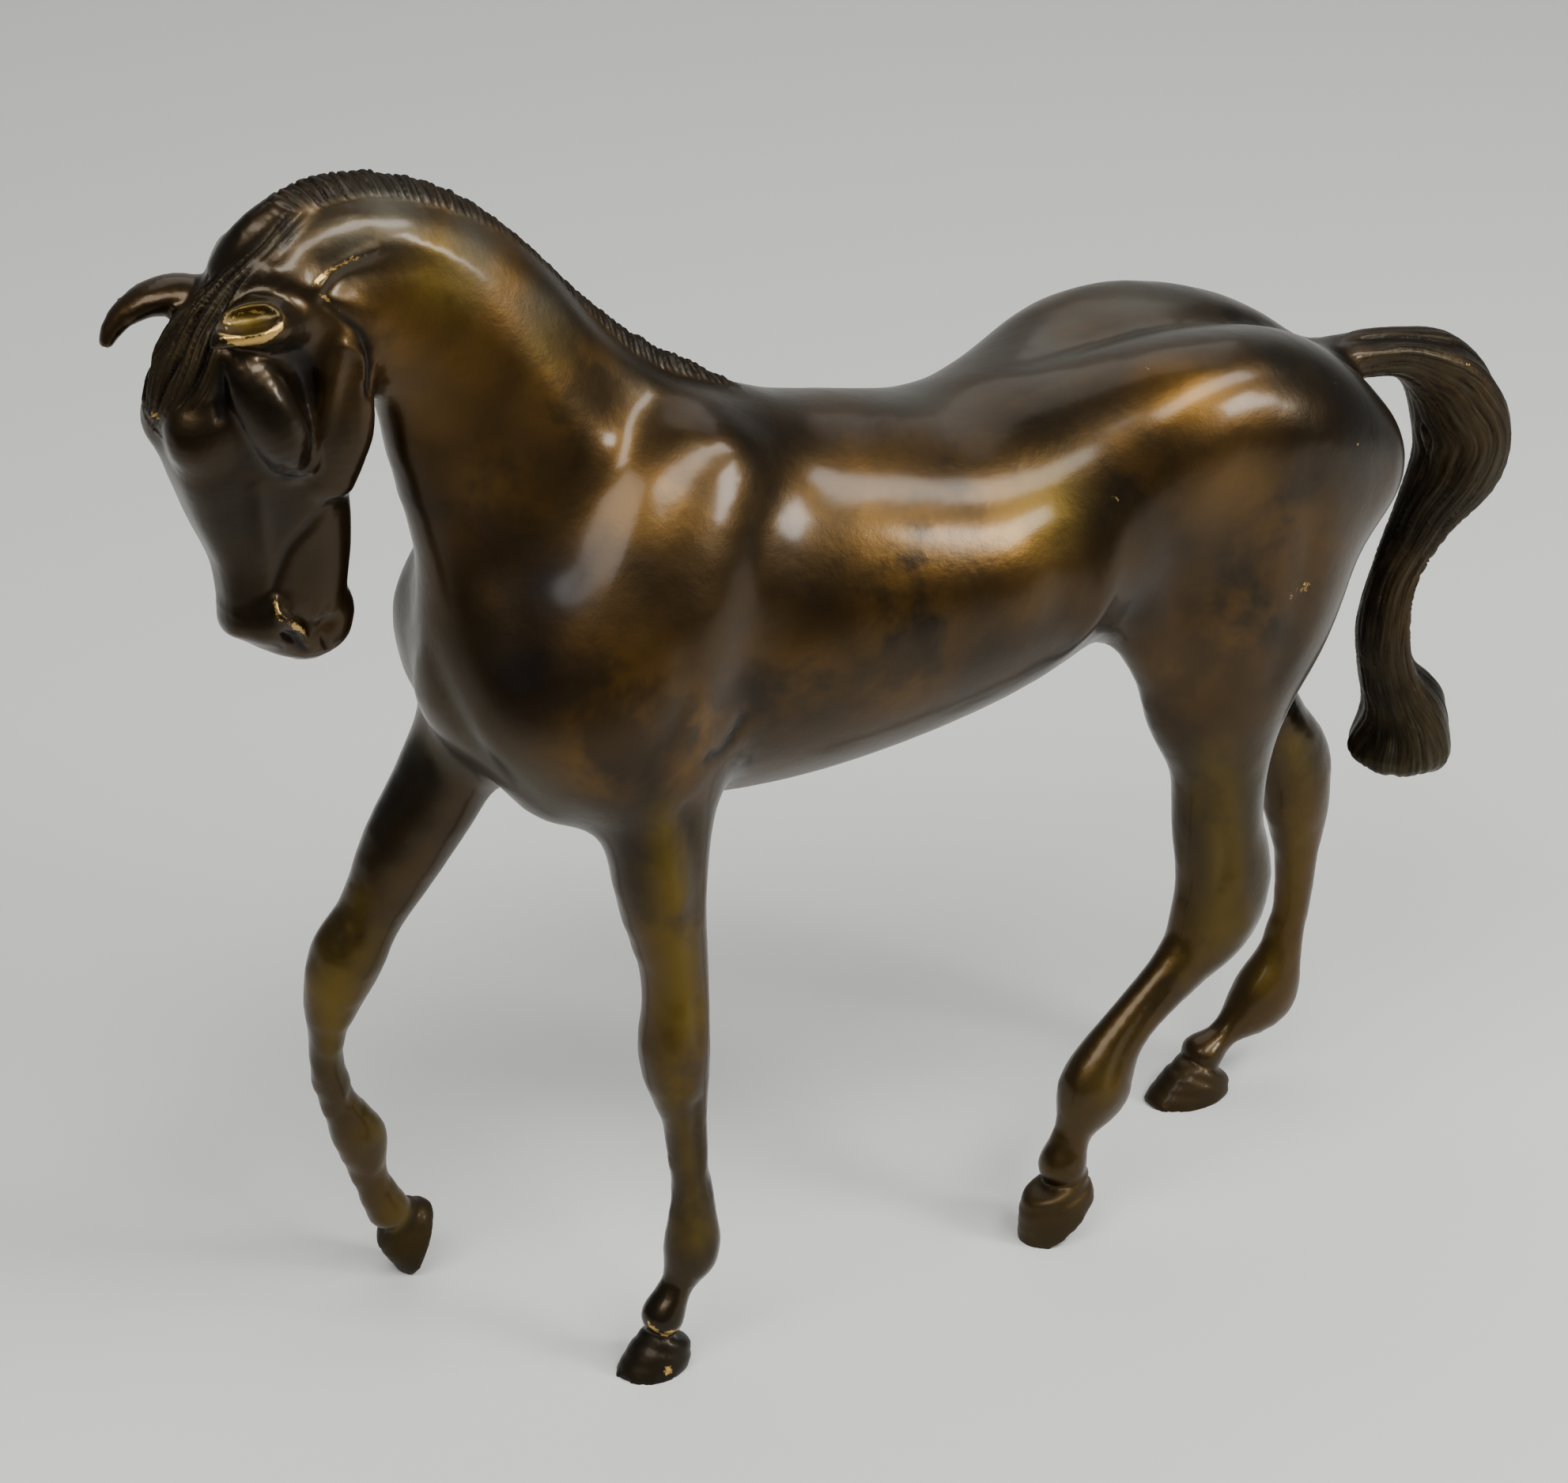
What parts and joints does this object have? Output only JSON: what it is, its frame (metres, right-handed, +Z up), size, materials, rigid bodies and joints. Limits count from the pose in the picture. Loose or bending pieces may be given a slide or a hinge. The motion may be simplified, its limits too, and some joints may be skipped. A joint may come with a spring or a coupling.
{
  "type": "walking horse figure",
  "caption": "Small cast bronze figure of a walking horse with hogged mane and free tail, standing on its own hooves as an ornament.",
  "frame": {"origin": "centre of the bounding box, at the level of the hoof soles", "axes": "-X is the way the horse faces, -Y is its left side, +Z is up"},
  "size_m": [0.328, 0.0846, 0.2724],
  "materials": {
    "bronze": "glossy dark brown patina with amber patches, rubbed to bright metal on edges"
  },
  "bodies": {
    "root": {"horse": "bronze"}
  },
  "joints": []
}
